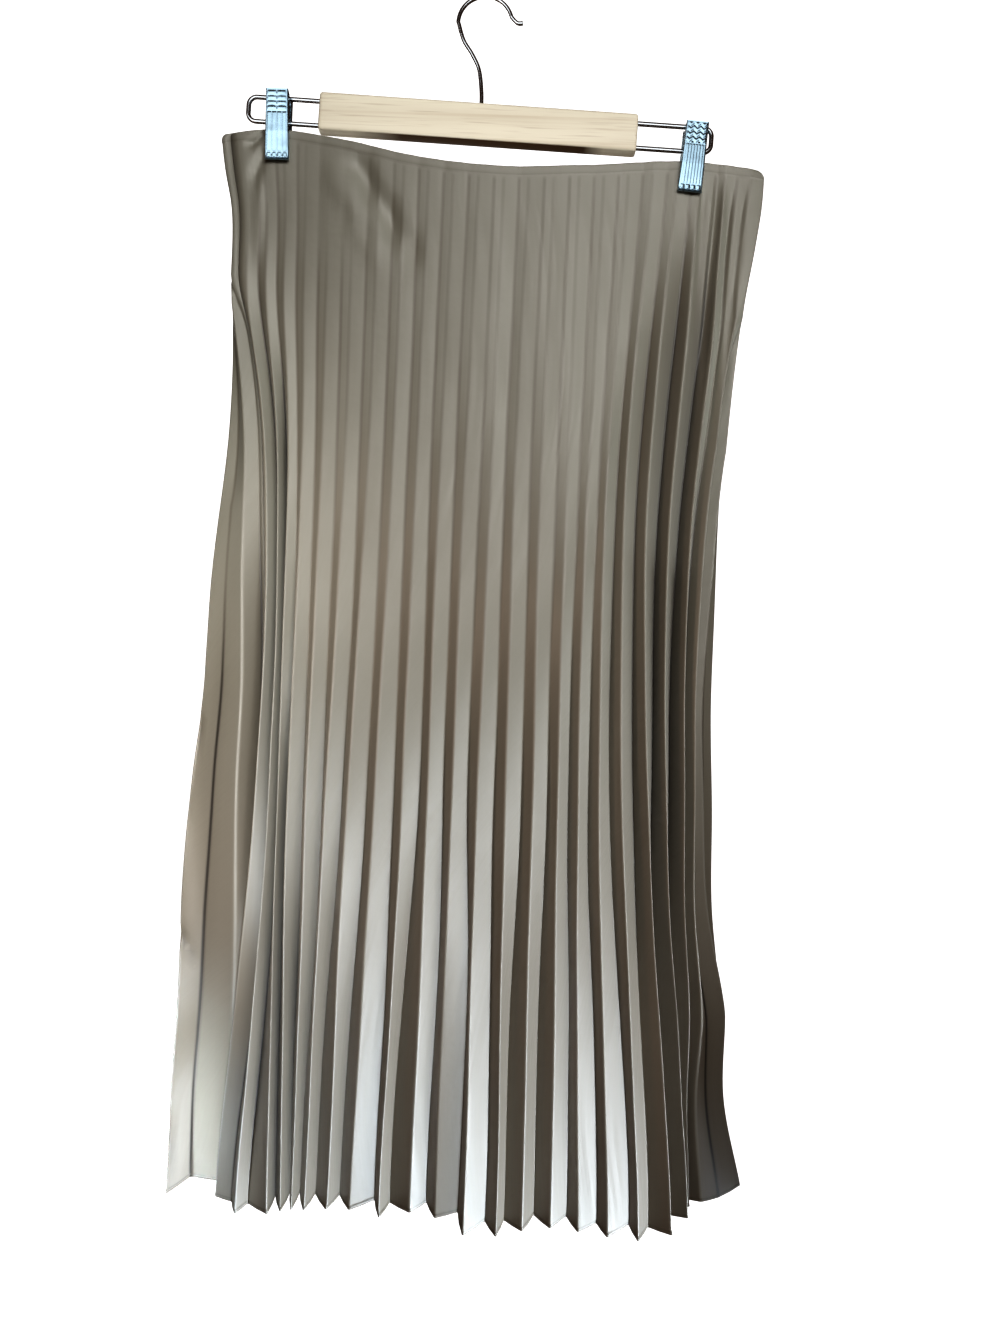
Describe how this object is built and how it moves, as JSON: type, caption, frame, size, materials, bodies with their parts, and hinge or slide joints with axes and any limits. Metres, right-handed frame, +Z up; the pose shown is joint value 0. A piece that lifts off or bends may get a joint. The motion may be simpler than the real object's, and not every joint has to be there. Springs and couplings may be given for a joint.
{
  "type": "pleated skirt on a clip hanger",
  "caption": "Long pleated satin skirt, flat at the waist and flared at the hem, clipped by its waist to a wooden trouser hanger with wire side loops.",
  "frame": {"origin": "the inside of the crown of the hook, where it rests on a rail", "axes": "+X along the waist to the viewer's right, +Y away from the viewer, +Z up"},
  "size_m": [0.438, 0.1133, 0.8869],
  "materials": {
    "taupe_satin": "smooth satin, pressed into fine pleats",
    "pale_maple": "smooth varnished maple",
    "bright_steel": "polished nickel plate"
  },
  "bodies": {
    "root": {"front_panel": "taupe_satin", "back_panel": "taupe_satin", "wooden_bar": "pale_maple", "hook": "bright_steel", "left_loop": "bright_steel", "right_loop": "bright_steel", "left_clip_front_jaw": "bright_steel", "left_clip_back_jaw": "bright_steel", "left_clip_spring": "bright_steel", "right_clip_front_jaw": "bright_steel", "right_clip_back_jaw": "bright_steel", "right_clip_spring": "bright_steel"}
  },
  "joints": []
}
